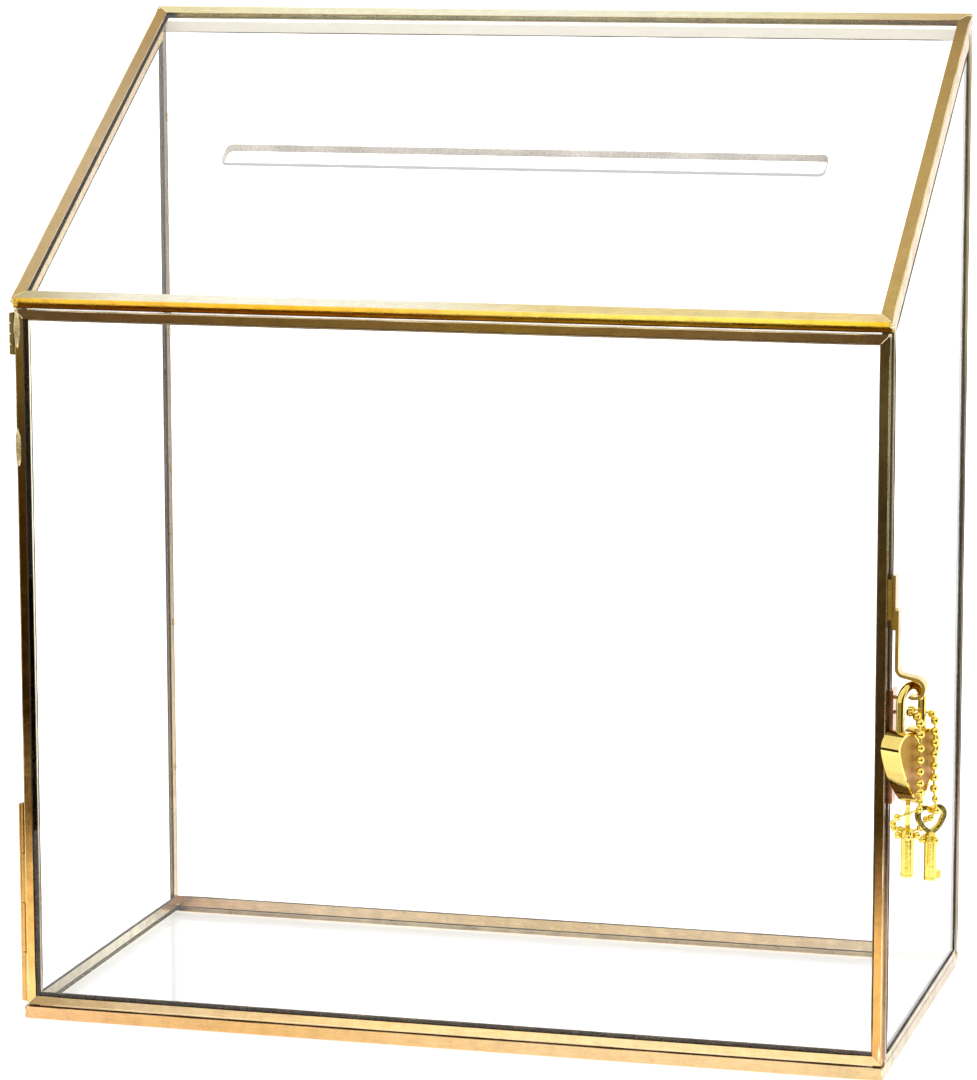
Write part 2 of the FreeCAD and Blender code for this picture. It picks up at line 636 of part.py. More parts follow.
# latch bolt, in its channel; its nose stops just short of the short leg
latch = doc.addObject("PartDesign::Body", "latch_bolt_body")
sk = sketch_on(latch, "latch_bolt_outline", "XY_Plane", -1.05)
poly = [(-3.7, 109.2), (-3.2, 108.7), (1.0, 108.7), (1.0, 110.8), (-3.7, 110.8)]
for i in range(5):
    a, b = poly[i], poly[(i + 1) % 5]
    sk.addGeometry(Part.LineSegment(V(a[0], a[1], 0), V(b[0], b[1], 0)), False)
pad(latch, sk, "latch_bolt_pad", "2.1")
keep(latch, "latch_bolt")
lock_place(latch)

# shackle: bent rod, short leg at the front, long leg at the back with a turned neck
sz = P["shackle_centre_z"]
path = Part.Wire([
    Part.makeLine(V(-sh, P["short_leg_z"], 0), V(-sh, sz, 0)),
    Part.Arc(V(-sh, sz, 0), V(0, sz + sh, 0), V(sh, sz, 0)).toShape(),
    Part.makeLine(V(sh, sz, 0), V(sh, P["long_leg_z"], 0)),
])
shackle = doc.addObject("PartDesign::Body", "shackle_body")
sk_path = sketch_on(shackle, "shackle_path", "XY_Plane")
add_edges(sk_path, path.Edges)
sk_sec = shackle.newObject("Sketcher::SketchObject", "shackle_section")
sk_sec.AttachmentSupport = [(plane(shackle, "XZ_Plane"), "")]
sk_sec.MapMode = "FlatFace"
sk_sec.AttachmentOffset = FreeCAD.Placement(V(0, 0, -P["short_leg_z"]), FreeCAD.Rotation())
sk_sec.addGeometry(Part.Circle(V(-sh, 0, 0), V(0, 0, 1), wr), False)
pipe = shackle.newObject("PartDesign::AdditivePipe", "shackle_rod")
pipe.Profile = sk_sec
pipe.Spine = sk_path
doc.recompute()
neck = shackle.newObject("Sketcher::SketchObject", "shackle_neck_sketch")
neck.AttachmentSupport = [(plane(shackle, "XY_Plane"), "")]
neck.MapMode = "FlatFace"
nr = P["neck_radius"]
quad = [(sh + nr, 104.6), (sh + 2.0, 104.2), (sh + 2.0, 111.0), (sh + nr, 110.6)]
for i in range(4):
    a, b = quad[i], quad[(i + 1) % 4]
    neck.addGeometry(Part.LineSegment(V(a[0], a[1], 0), V(b[0], b[1], 0)), False)
axis_line = neck.addGeometry(Part.LineSegment(V(sh, 100, 0), V(sh, 115, 0)), True)
groove = shackle.newObject("PartDesign::Groove", "shackle_neck")
groove.Profile = neck
groove.ReferenceAxis = (neck, ["Axis0"])
groove.Angle = 360
keep(shackle, "shackle")
lock_place(shackle)

# coil spring under the long leg
spring_lo, spring_hi = 100.55, P["long_leg_z"] - 0.05
wire_r = 0.22
turns_h = spring_hi - spring_lo - 2 * wire_r
helix = Part.makeHelix(turns_h / 3.0, turns_h, 0.85)
start = V(0.85, 0, 0)
ring = Part.Wire([Part.Circle(start, V(0, 1, 0.25), wire_r).toShape()])
coil = Part.Wire(helix.Edges).makePipeShell([ring], True, True)
spring = doc.addObject("Part::Feature", "shackle_spring_coil")
spring.Shape = coil
keep(spring, "shackle_spring")
lp = lock_point(sh, 0, spring_lo + wire_r)
spring.Placement = FreeCAD.Placement(V(*lp), FreeCAD.Rotation())

# ----------------------------------------------------------------- ball chain
br, lr = P["ball_radius"], P["link_radius"]


def chain_points():
    """Centres of the balls, in order round the loop, in the lock's own s, n, z."""
    pts = []
    pts += [(5.4, 5.5, 97.6 + 3.8 * i) for i in range(6)]          # rear strand, going up
    pts += [(6.6, 4.6, 119.9), (8.5, 1.7, 121.4), (8.1, -2.0, 122.0), (4.9, -3.8, 122.5),
            (1.9, -1.9, 122.3), (0.9, 1.6, 121.6), (-1.0, 4.4, 120.0)]   # round the long leg
    pts += [(-2.0, 5.5, 116.6 - 3.8 * i) for i in range(6)]         # front strand, going down
    return pts


balls = [V(*lock_point(*p)) for p in chain_points()]
# the bottom of the loop, through the two key bows, in the model's own frame
na_ang, nb_ang = math.radians(-50.0), math.radians(9.6)
NA = V(math.cos(na_ang), math.sin(na_ang), 0)      # out of key A's bow
WA = V(-NA.y, NA.x, 0)                             # across it
NB = V(math.cos(nb_ang), math.sin(nb_ang), 0)      # out of key B's bow
KA = V(164.2, YO + 3.02, 88.0)                     # middle of key A's bow
KB = V(158.5, YO - 7.6, 91.2)                      # middle of key B's bow


def up(z):
    return V(0, 0, z)


def rest_of_chain():
    """Down from the front strand, in through key B's bow, round below, and up through key A's."""
    return [
        V(161.7, YO - 2.9, 95.0),
        V(161.9, YO - 6.2, 93.2),
        KB + up(0.7),
        KB - NB * 3.4 + up(-0.5),
        V(153.5, YO - 6.2, 88.0),
        V(153.4, YO - 3.1, 85.9),
        V(155.1, YO - 0.2, 84.6),
        V(157.8, YO + 2.3, 83.7),
        V(160.5, YO + 4.4, 84.6),
        KA - NA * 3.0 + up(-0.4),
        KA + up(0.6),
        KA + NA * 2.7 + WA * 0.5 + up(3.5),
        KA + NA * 0.2 + WA * 1.4 + up(6.75),
    ]


balls += rest_of_chain()
ball_shapes, link_shapes = [], []
for i, c in enumerate(balls):
    ball_shapes.append(Part.makeSphere(br, c))
for i, c in enumerate(balls):
    d = balls[(i + 1) % len(balls)]
    gap = d - c
    length = gap.Length
    u = V(gap.x, gap.y, gap.z).normalize()
    a = c + u * (br - 0.12)
    link_shapes.append(Part.makeCylinder(lr, length - 2 * br + 0.24, a, u))
links = Part.makeCompound([l.cut(Part.makeCompound([ball_shapes[i], ball_shapes[(i + 1) % len(balls)]]))
                           for i, l in enumerate(link_shapes)])
chain = doc.addObject("Part::Feature", "chain_balls_set")
chain.Shape = Part.makeCompound(ball_shapes)
keep(chain, "chain_balls")
chain_l = doc.addObject("Part::Feature", "chain_links_set")
chain_l.Shape = links
keep(chain_l, "chain_links")


# ----------------------------------------------------------------------- keys
def key_shape():
    """Local: X across the bow, Y up, Z out of the bow's face; the bow's middle at the origin."""
    bw, bh, bar, th = P["key_bow_width"], P["key_bow_height"], P["key_bow_bar"], P["key_bow_thick"]
    lobe = bw * 0.287
    off = bw / 2 - lobe
    zc = bh / 2 - lobe
    outer_w = heart(0, zc, lobe, off, -bh / 2, 0.9)
    inner_w = outer_w.makeOffset2D(-bar)
    bow = Part.Face(outer_w).extrude(V(0, 0, th)).cut(Part.Face(inner_w).extrude(V(0, 0, th)))
    bow.translate(V(0, 0, -th / 2))
    top = -bh / 2 + 1.0
    bottom_y = bh / 2 - P["key_length"]
    rb = P["key_barrel_radius"]
    barrel = Part.makeCylinder(rb, top - 1.1 - bottom_y, V(0, bottom_y, 0), V(0, 1, 0))
    cone = Part.makeCone(rb, 0.9, 1.2, V(0, top - 1.1, 0), V(0, 1, 0))
    bore = Part.makeCylinder(P["key_barrel_bore"], 9.0, V(0, bottom_y, 0), V(0, 1, 0))
    bit = Part.makeBox(2.1, 2.7, 1.1, V(rb - 0.4, bottom_y + 0.25, -0.55))
    body_ = bow.fuse([barrel, cone, bit])
    ears = []
    for dx, dz in ((-1, 0), (0, 1), (0, -1)):
        c = V(dx * (rb + 1.0), top - 2.4, dz * (rb + 1.0))
        ears.append(Part.makeSphere(1.25, c))
    body_ = body_.fuse(ears).cut(bore)
    return body_.removeSplitter()


shape = key_shape()
key_a = doc.addObject("Part::Feature", "key_a_casting")
key_a.Shape = shape
keep(key_a, "key_a")
place(key_a, tuple(KA), tuple(WA), (0, 0, 1), tuple(NA))
key_b = doc.addObject("Part::Feature", "key_b_casting")
key_b.Shape = shape.copy()
keep(key_b, "key_b")
place(key_b, tuple(KB), (NB.y * -1, NB.x, 0), (0, 0, 1), tuple(NB))

# ----------------------------------------------------------- check and export
doc.recompute()
bad = [o.Name for o in doc.Objects if "Invalid" in o.State or "Error" in o.State]
if bad:
    raise RuntimeError("objects failed: " + ", ".join(bad))
names = set()
for obj in NODES:
    s_ = obj.Shape
    if s_.isNull() or not s_.isValid() or s_.Volume <= 0:
        raise RuntimeError("bad shape: " + obj.Label)
    if obj.Label in names:
        raise RuntimeError("name used twice: " + obj.Label)
    names.add(obj.Label)
for obj in NODES:
    obj.Shape.exportStep("parts/%s.step" % obj.Label)
print("nodes:", len(NODES))
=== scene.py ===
import math
import random

import bpy
from mathutils import Matrix, Vector


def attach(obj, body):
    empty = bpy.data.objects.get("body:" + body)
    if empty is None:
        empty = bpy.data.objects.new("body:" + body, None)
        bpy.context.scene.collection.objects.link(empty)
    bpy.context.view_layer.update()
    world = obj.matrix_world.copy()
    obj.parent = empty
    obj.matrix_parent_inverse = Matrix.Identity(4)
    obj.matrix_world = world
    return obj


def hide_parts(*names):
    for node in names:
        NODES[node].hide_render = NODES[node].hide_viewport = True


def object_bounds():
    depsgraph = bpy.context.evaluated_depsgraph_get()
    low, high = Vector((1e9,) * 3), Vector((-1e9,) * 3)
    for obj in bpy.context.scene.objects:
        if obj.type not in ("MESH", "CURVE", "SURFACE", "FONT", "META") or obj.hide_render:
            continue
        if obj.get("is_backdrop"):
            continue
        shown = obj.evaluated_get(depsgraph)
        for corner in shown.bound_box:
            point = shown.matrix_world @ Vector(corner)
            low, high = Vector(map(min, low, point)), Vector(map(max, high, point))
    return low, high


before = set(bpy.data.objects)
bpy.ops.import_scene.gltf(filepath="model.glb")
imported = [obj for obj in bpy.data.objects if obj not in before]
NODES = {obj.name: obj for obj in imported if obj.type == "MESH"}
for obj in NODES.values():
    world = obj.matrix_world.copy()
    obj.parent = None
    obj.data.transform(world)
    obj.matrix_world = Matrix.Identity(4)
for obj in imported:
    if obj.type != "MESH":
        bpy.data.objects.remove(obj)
MM = 0.001
random.seed(11)


def plain(x):
    if isinstance(x, dict):
        return {k: plain(v) for k, v in x.items()}
    if isinstance(x, (int, float, str)) or x is None:
        return x
    return [plain(v) for v in list(x)]


start_bounds = plain(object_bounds())


# ------------------------------------------------------------------ colours
def lin(hexa):
    out = []
    for i in (0, 2, 4):
        c = int(hexa[i:i + 2], 16) / 255
        out.append(c / 12.92 if c <= 0.04045 else ((c + 0.055) / 1.055) ** 2.4)
    return (out[0], out[1], out[2], 1.0)


# ---------------------------------------------------------------- materials
class Tree:
    def __init__(self, name):
        self.m = bpy.data.materials.new(name)
        self.m.use_nodes = True
        self.t = self.m.node_tree
        self.t.nodes.clear()
        self.out = self.n("ShaderNodeOutputMaterial")
        self.b = self.n("ShaderNodeBsdfPrincipled")
        self.t.links.new(self.b.outputs[0], self.out.inputs[0])

    def n(self, kind, **kw):
        node = self.t.nodes.new(kind)
        for k, v in kw.items():
            setattr(node, k, v)
        return node

    def link(self, a, b):
        self.t.links.new(a, b)

    def coords(self, scale=(1, 1, 1), rot=(0, 0, 0)):
        tc = self.n("ShaderNodeTexCoord")
        mp = self.n("ShaderNodeMapping")
        mp.inputs["Scale"].default_value = scale
        mp.inputs["Rotation"].default_value = rot
        self.link(tc.outputs["Object"], mp.inputs["Vector"])
        return mp.outputs[0]

    def noise(self, vec, scale, detail=3.0, rough=0.55, dist=0.0):
        nz = self.n("ShaderNodeTexNoise")
        nz.inputs["Scale"].default_value = scale
        nz.inputs["Detail"].default_value = detail
        nz.inputs["Roughness"].default_value = rough
        nz.inputs["Distortion"].default_value = dist
        self.link(vec, nz.inputs["Vector"])
        return nz.outputs[0]

    def ramp(self, fac, stops, interp="LINEAR"):
        r = self.n("ShaderNodeValToRGB")
        r.color_ramp.interpolation = interp
        el = r.color_ramp.elements
        while len(el) > 1:
            el.remove(el[-1])
        el[0].position = stops[0][0]
        el[0].color = stops[0][1]
        for p, c in stops[1:]:
            e = el.new(p)
            e.color = c
        self.link(fac, r.inputs[0])
        return r.outputs[0]

    def rng(self, val, a, b, lo=0.0, hi=1.0):
        m = self.n("ShaderNodeMapRange")
        m.inputs[1].default_value = a
        m.inputs[2].default_value = b
        m.inputs[3].default_value = lo
        m.inputs[4].default_value = hi
        self.link(val, m.inputs[0])
        return m.outputs[0]

    def mix(self, fac, a, b, mode="MIX"):
        m = self.n("ShaderNodeMix", data_type="RGBA", blend_type=mode)
        if isinstance(fac, (int, float)):
            m.inputs[0].default_value = fac
        else:
            self.link(fac, m.inputs[0])
        for sock, v in ((m.inputs[6], a), (m.inputs[7], b)):
            if isinstance(v, tuple):
                sock.default_value = v
            else:
                self.link(v, sock)
        return m.outputs[2]

    def bump(self, height, strength, dist):
        b = self.n("ShaderNodeBump")
        b.inputs["Strength"].default_value = strength
        b.inputs["Distance"].default_value = dist
        self.link(height, b.inputs["Height"])
        self.link(b.outputs[0], self.b.inputs["Normal"])
        return b


def brass(name, axis, lo, hi, stops, rough=(0.16, 0.34), stain=0.35, along=None, dark="5a4420"):
    """Brass whose tone changes along one axis of the box, the ramp holding painted reflections and painted shade as
    well as the metal's colour, with tarnish, drawing lines and small dents.
    """
    t = Tree(name)
    tc = t.n("ShaderNodeTexCoord")
    sep = t.n("ShaderNodeSeparateXYZ")
    t.link(tc.outputs["Object"], sep.inputs[0])
    # wavering of the tone's edges
    wob = t.noise(t.coords((1, 1, 1)), 38.0, 2.0)
    wobble = t.n("ShaderNodeMath", operation="MULTIPLY_ADD")
    t.link(wob, wobble.inputs[0])
    wobble.inputs[1].default_value = abs(hi - lo) * 0.05
    t.link(sep.outputs["XYZ".index(axis)], wobble.inputs[2])
    pos = t.rng(wobble.outputs[0], lo + abs(hi - lo) * 0.025, hi + abs(hi - lo) * 0.025)
    tone = t.ramp(pos, [(p, lin(c)) for p, c in stops])
    ax = along or axis
    sc = {"X": (0.06, 1, 1), "Y": (1, 0.06, 1), "Z": (1, 1, 0.06)}[ax]
    lines = t.noise(t.coords(sc), 2600.0, 3.0, 0.6)
    mott = t.noise(t.coords(), 170.0, 4.0, 0.62, 0.4)
    spots = t.ramp(mott, [(0.40, (0, 0, 0, 1)), (0.72, (1, 1, 1, 1))])
    spot_f = t.n("ShaderNodeMath", operation="MULTIPLY")
    t.link(spots, spot_f.inputs[0])
    spot_f.inputs[1].default_value = stain
    col = t.mix(spot_f.outputs[0], tone, lin(dark))
    l2 = t.ramp(lines, [(0.30, (0.86, 0.85, 0.82, 1)), (0.62, (1, 1, 1, 1))])
    col = t.mix(1.0, col, l2, "MULTIPLY")
    t.link(col, t.b.inputs["Base Color"])
    t.b.inputs["Metallic"].default_value = 1.0
    t.link(t.rng(mott, 0.3, 0.7, rough[0], rough[1]), t.b.inputs["Roughness"])
    low = t.noise(t.coords((1, 1, 1)), 240.0, 2.0)
    add = t.n("ShaderNodeMath", operation="MULTIPLY_ADD")
    t.link(lines, add.inputs[0])
    add.inputs[1].default_value = 0.25
    t.link(low, add.inputs[2])
    t.bump(add.outputs[0], 0.22, 0.00025)
    return t.m


def gold(name, colour, rough=(0.08, 0.2), grain=900.0, bump=0.12, second=None, wear=0.25):
    """Plated gold, polished or satin, with fine grain and worn patches."""
    t = Tree(name)
    big = t.noise(t.coords(), 230.0, 3.0, 0.55, 0.3)
    fine = t.noise(t.coords(), grain, 4.0, 0.6)
    w = t.ramp(big, [(0.42, (0, 0, 0, 1)), (0.68, (1, 1, 1, 1))])
    wf = t.n("ShaderNodeMath", operation="MULTIPLY")
    t.link(w, wf.inputs[0])
    wf.inputs[1].default_value = wear
    col = t.mix(wf.outputs[0], lin(colour), lin(second or colour))
    sh = t.ramp(fine, [(0.25, (0.9, 0.9, 0.88, 1)), (0.6, (1, 1, 1, 1))])
    col = t.mix(1.0, col, sh, "MULTIPLY")
    t.link(col, t.b.inputs["Base Color"])
    t.b.inputs["Metallic"].default_value = 1.0
    t.link(t.rng(fine, 0.3, 0.7, rough[0], rough[1]), t.b.inputs["Roughness"])
    t.bump(fine, bump, 0.00012)
    return t.m


def clear_glass(name):
    """Clear float glass: hardly any tint, with the faintest waviness and a few specks of dust."""
    t = Tree(name)
    wave = t.noise(t.coords(), 9.0, 1.5)
    dust = t.noise(t.coords(), 1500.0, 2.0)
    tint = t.ramp(wave, [(0.3, (0.985, 0.993, 0.990, 1)), (0.7, (0.995, 0.998, 0.997, 1))])
    t.link(tint, t.b.inputs["Base Color"])
    t.b.inputs["Transmission Weight"].default_value = 1.0
    t.b.inputs["IOR"].default_value = 1.5
    t.link(t.ramp(dust, [(0.72, (0, 0, 0, 1)), (0.86, (0.012, 0.012, 0.012, 1))]), t.b.inputs["Roughness"])
    t.bump(wave, 0.03, 0.0002)
    return t.m


def satin_edge(name, colour, rough=0.42, alpha=0.85):
    """Ground edge of the glass: frosted, light grey with a fine grain."""
    t = Tree(name)
    g = t.noise(t.coords((1, 1, 1)), 1800.0, 4.0)
    g2 = t.noise(t.coords((1, 1, 1)), 55.0, 2.0)
    col = t.mix(0.5, t.ramp(g, [(0.3, lin(colour)), (0.75, (0.93, 0.93, 0.92, 1))]),
                t.ramp(g2, [(0.3, lin(colour)), (0.7, lin("e4dfd8"))]))
    t.link(col, t.b.inputs["Base Color"])
    t.b.inputs["Roughness"].default_value = rough
    t.b.inputs["Transmission Weight"].default_value = 0.25
    t.b.inputs["Alpha"].default_value = alpha
    t.bump(g, 0.2, 0.0001)
    return t.m


# tone along each bar, painted reflections and painted shade in with the brass colour: axis, start, end, list of (place,
# colour)
BRASS_AND_PAINTED_LIGHT_TONES = {
    "door_left": ("Z", 0.0, 0.25, [(0.0, "f3cf88"), (0.10, "ebb866"), (0.20, "dca85c"), (0.29, "8e6531"), (0.36, "a17e4a"), (0.44, "5a3a14"), (0.70, "55370f"), (0.82, "6a5128"), (0.92, "8f7436"), (1.0, "987c46")]),
    "door_right": ("Z", 0.0, 0.25, [(0.0, "dfa262"), (0.09, "e0ac60"), (0.18, "dfa95e"), (0.26, "8a6132"), (0.34, "4a3310"), (0.55, "5a4426"), (0.68, "66552c"), (0.76, "55462a"), (0.88, "7a6a40"), (1.0, "5a4620")]),
    "door_top": ("X", -0.15, 0.15, [(0, "7d6540"), (0.12, "87613a"), (0.3, "94763f"), (0.45, "a3824a"), (0.58, "ab8a3c"), (0.72, "a5824c"), (0.85, "9a7c4c"), (1, "785c36")]),
    "door_bottom": ("X", -0.15, 0.15, [(0, "9a8055"), (0.15, "cfb48c"), (0.3, "e0bf8a"), (0.42, "f0d090"), (0.7, "f2d6a0"), (1, "f2cf94")]),
    "bottom_front": ("X", -0.15, 0.15, [(0, "e4b582"), (0.3, "dfb272"), (0.6, "e8c490"), (0.85, "ecc894"), (1, "ddc08f")]),
    "roof_web": ("X", -0.15, 0.15, [(0, "f5c244"), (0.2, "f0b03a"), (0.33, "f2ae28"), (0.5, "f2c254"), (0.62, "e8cc5a"), (0.8, "fadc62"), (1, "e8b828")]),
    "roof_lip": ("X", -0.15, 0.15, [(0, "b9a878"), (0.12, "efe9d2"), (0.3, "f6f4e6"), (0.5, "efe9cf"), (0.62, "dfc98c"), (0.8, "e0cd90"), (1, "dec288")]),
    "roof_rear": ("X", -0.15, 0.15, [(0, "e6d9a0"), (0.2, "f2edcc"), (0.5, "f4f1dc"), (0.8, "e4dcb0"), (1, "c9ac78")]),
    "roof_left": ("Y", -0.0765, 0.0765, [(0, "bfa46c"), (0.1, "c3a878"), (0.5, "c8ae84"), (0.8, "b4986a"), (1, "b08c50")]),
    "roof_right": ("Y", -0.0765, 0.0765, [(0, "b49a58"), (0.2, "b6965a"), (0.6, "ad9152"), (0.85, "a5854a"), (1, "876b3c")]),
    "right_front": ("Z", 0.0, 0.25, [(0, "e6d9cc"), (0.06, "dccbb6"), (0.12, "bda488"), (0.22, "c2b094"), (0.32, "77503a"), (0.42, "80623f"), (0.56, "8f7550"), (0.72, "a29478"), (0.84, "bdb49c"), (1, "998d68")]),
    "right_rear": ("Z", 0.0, 0.34, [(0, "8f7c6a"), (0.18, "bcae9c"), (0.3, "857252"), (0.4, "54442b"), (0.65, "584930"), (0.78, "93876a"), (0.9, "8a7f5e"), (1, "a08a64")]),
    "right_bottom": ("Y", -0.0765, 0.0765, [(0, "d6c6a6"), (0.3, "c8b898"), (0.6, "cdbb9c"), (1, "bfab92")]),
    "right_top": ("Y", -0.0765, 0.0765, [(0, "a28c64"), (0.4, "c0ac88"), (0.8, "b29e7c"), (1, "a08c6a")]),
    "left_front": ("Z", 0.0, 0.25, [(0, "d6bf98"), (0.2, "c2ab84"), (0.35, "dccbaa"), (0.7, "ece2c8"), (1, "e4d8b8")]),
    "left_rear": ("Z", 0.0, 0.34, [(0, "d0b078"), (0.25, "b4945a"), (0.42, "7a5c28"), (0.6, "6a4e20"), (1, "5c4218")]),
    "rear_up": ("Z", 0.0, 0.34, [(0, "d0b078"), (0.2, "c0a268"), (0.36, "7a5c28"), (0.55, "5c4218"), (0.8, "4e3812"), (1, "4a380e")]),
    "rear_top": ("X", -0.15, 0.15, [(0, "f6efe0"), (0.5, "f8f3e8"), (1, "f0e8d6")]),
    "low_back": ("X", -0.15, 0.15, [(0, "d4a478"), (0.2, "e8caa0"), (0.5, "e4c28e"), (0.8, "e8c89c"), (1, "e0cfb0")]),
    "base_back": ("X", -0.15, 0.15, [(0, "f4dcbc"), (0.3, "fff0d4"), (0.7, "fbe6c4"), (1, "f0e0c4")]),
    "low_side": ("Y", -0.0765, 0.0765, [(0, "b5a68a"), (0.3, "d8ccb0"), (0.6, "f2e8cc"), (0.85, "eadcbc"), (1, "b9a383")]),
    "hinge": ("Z", 0.0, 0.25, [(0, "dcb070"), (0.2, "cda05c"), (0.4, "8f6c3a"), (1, "a08a58")]),
    "hasp": ("Z", 0.12, 0.17, [(0, "d8b85a"), (0.4, "c6a64e"), (0.75, "b49648"), (1, "b89c54")]),
    "staple": ("Z", 0.09, 0.13, [(0, "b77c58"), (1, "a87a4a")]),
    "lock_face": ("Z", 0.095, 0.118, [(0, "dcb27c"), (0.4, "dab07a"), (0.5, "c49c50"), (1, "c9a050")]),
}
ALONG = {"hasp": "Z", "staple": "Z", "lock_face": "X"}
M = {}
for key_, (ax_, lo_, hi_, stops_) in BRASS_AND_PAINTED_LIGHT_TONES.items():
    dull = key_ in ("lock_face", "rear_top")
    M[key_] = brass(key_ + "_brass", ax_, lo_, hi_, stops_, along=ALONG.get(key_, ax_),
                    rough=(0.30, 0.46) if dull else (0.15, 0.32), stain=0.10 if dull else 0.16)
M["lock_case"] = gold("padlock_polished", "efd67c", rough=(0.05, 0.12), second="dcbc58", wear=0.3)
M["shackle"] = gold("shackle_gold", "ecd274", rough=(0.05, 0.12), second="d6b44c", wear=0.3)
M["chain"] = gold("ball_chain_gold", "f4de72", rough=(0.06, 0.14), second="dcc04c", wear=0.35)
M["key"] = gold("key_gold", "f2dc74", rough=(0.10, 0.22), grain=1100.0, bump=0.3, second="dcc050", wear=0.4)
M["solder"] = gold("pale_solder", "ece0b4", rough=(0.2, 0.36), grain=700.0, bump=0.5, second="cbb277", wear=0.5)
# painted shadow for the dark joints
M["dark_edge"] = gold("joint_painted_shadow", "3a2a10", rough=(0.3, 0.5), grain=900.0, bump=0.3, second="5c4520", wear=0.5)
# painted shade and painted reflection for the lip edges
M["dark_back"] = gold("back_edge_painted_shade", "54401c", rough=(0.3, 0.5), grain=900.0, bump=0.3, second="78602e", wear=0.5)
M["pale_edge"] = gold("lip_edge_painted_reflection", "dcc4a4", rough=(0.22, 0.4), grain=900.0, bump=0.3, second="c0a47c", wear=0.5)


def patina_with_painted_light(name, lo, hi, stops):
    """Dull brown-green tarnish on the arris, its tone along Z also holding painted shade and painted reflections:
    hardly metallic, so it stays dark against the light.
    """
    m_ = brass(name, "Z", lo, hi, stops, rough=(0.4, 0.6), stain=0.2, along="Z")
    for node in m_.node_tree.nodes:
        if node.type == "BSDF_PRINCIPLED":
            node.inputs["Metallic"].default_value = 0.15
            node.inputs["Specular IOR Level"].default_value = 0.2
    return m_


M["patina_rear"] = patina_with_painted_light("rear_arris_patina_and_painted_light", 0.0, 0.34, [(0, "b09c84"), (0.12, "c4b49e"), (0.19, "8a765a"), (0.24, "54452c"),
                          (0.45, "4c422e"), (0.62, "5c5138"), (0.68, "a3966f"), (0.8, "8c7f5e"), (0.9, "968862"), (1, "a8926c")])
M["patina_front"] = patina_with_painted_light("front_joint_patina_and_painted_light", 0.0, 0.25, [(0, "d8c8b4"), (0.2, "b9a084"), (0.32, "7e4f33"), (0.45, "84603f"),
                           (0.6, "8f7550"), (0.72, "a89a78"), (0.85, "b8ac90"), (1, "a29672")])
# painted highlight for the outer arris
M["bright_edge"] = gold("arris_painted_highlight", "f4e4b0", rough=(0.14, 0.3), grain=900.0, bump=0.3, second="dcc07a", wear=0.4)
M["steel"] = gold("spring_wire_steel", "b8b8b4", rough=(0.2, 0.3), second="8f8f8b")
M["bolt"] = gold("latch_bolt_brass", "c9a65c", rough=(0.25, 0.4), second="a5843f")
M["glass"] = clear_glass("float_glass")
M["glass_low"] = clear_glass("float_glass_floor_pane")
for node_ in M["glass_low"].node_tree.nodes:
    if node_.type == "BSDF_PRINCIPLED":
        node_.inputs["IOR"].default_value = 1.1
# painted shade on the lip edges
M["patina_dark"] = patina_with_painted_light("lip_edge_painted_shade", 0.0, 0.34, [(0, "33260f"), (0.3, "2a2010"), (0.6, "3c2f18"), (1, "55462a")])
for m_, metal_, rough_ in ((M["lock_face"], 0.75, 0.62), (M["rear_top"], 0.5, 0.5)):
    for node_ in m_.node_tree.nodes:
        if node_.type == "BSDF_PRINCIPLED":
            node_.inputs["Metallic"].default_value = metal_
            for link_ in list(m_.node_tree.links):
                if link_.to_socket == node_.inputs["Roughness"]:
                    m_.node_tree.links.remove(link_)
            node_.inputs["Roughness"].default_value = rough_
            # painted light: the rear top channel is near white and glows a little, in place of the dark reflection it
            # would show
            if m_ == M["rear_top"]:
                node_.inputs["Emission Color"].default_value = lin("f4ecdc")
                node_.inputs["Emission Strength"].default_value = 0.4
M["slot"] = satin_edge("ground_slot_edge", "8f8478", alpha=1.0)
M["slot_low"] = satin_edge("ground_slot_lower_edge", "d6d6d4", alpha=1.0)
# painted light: the ground slot edges glow, the lower edge paler and brighter
for key_, hex_, painted_glow_ in (("slot", "cbbcae", 0.22), ("slot_low", "dcdcda", 0.35)):
    for node_ in M[key_].node_tree.nodes:
        if node_.type == "BSDF_PRINCIPLED":
            node_.inputs["Transmission Weight"].default_value = 0.0
            node_.inputs["Emission Color"].default_value = lin(hex_)
            node_.inputs["Emission Strength"].default_value = painted_glow_

LOOK = {
    "bottom_binding": "bottom_front",
    "rear_bottom_channel": "low_back", "rear_right_channel": "right_rear", "rear_top_channel": "rear_top",
    "rear_left_channel": "rear_up",
    "left_bottom_channel": "low_side", "left_rear_channel": "left_rear", "left_top_channel": "roof_left",
    "left_front_channel": "left_front",
    "right_bottom_channel": "right_bottom", "right_front_channel": "right_front", "right_top_channel": "right_top",
    "right_rear_channel": "right_rear",
    "roof_front_channel": "roof_lip", "roof_left_channel": "roof_left", "roof_rear_channel": "roof_rear",
    "roof_right_channel": "roof_right",
    "door_bottom_channel": "door_bottom", "door_left_channel": "door_left", "door_top_channel": "door_top",
    "door_right_channel": "door_right",
    "hasp_plate": "hasp", "hasp_strap": "hasp", "staple_plate": "staple", "staple_loop": "staple",
    "lock_case": "lock_case", "lock_face_plate": "lock_face", "retaining_pin": "steel", "key_plug": "bolt",
    "latch_bolt": "bolt", "shackle": "shackle", "shackle_spring": "steel",
    "chain_balls": "chain", "chain_links": "chain", "key_a": "key", "key_b": "key",
}


def dress(obj, mat):
    obj.data.materials.clear()
    obj.data.materials.append(mat)


for name, obj in NODES.items():
    if name == "bottom_glass":
        dress(obj, M["glass_low"])
    elif name.endswith("_glass"):
        dress(obj, M["glass"])
    elif "hinge" in name:
        dress(obj, M["hinge"])
    else:
        dress(obj, M[LOOK[name]])



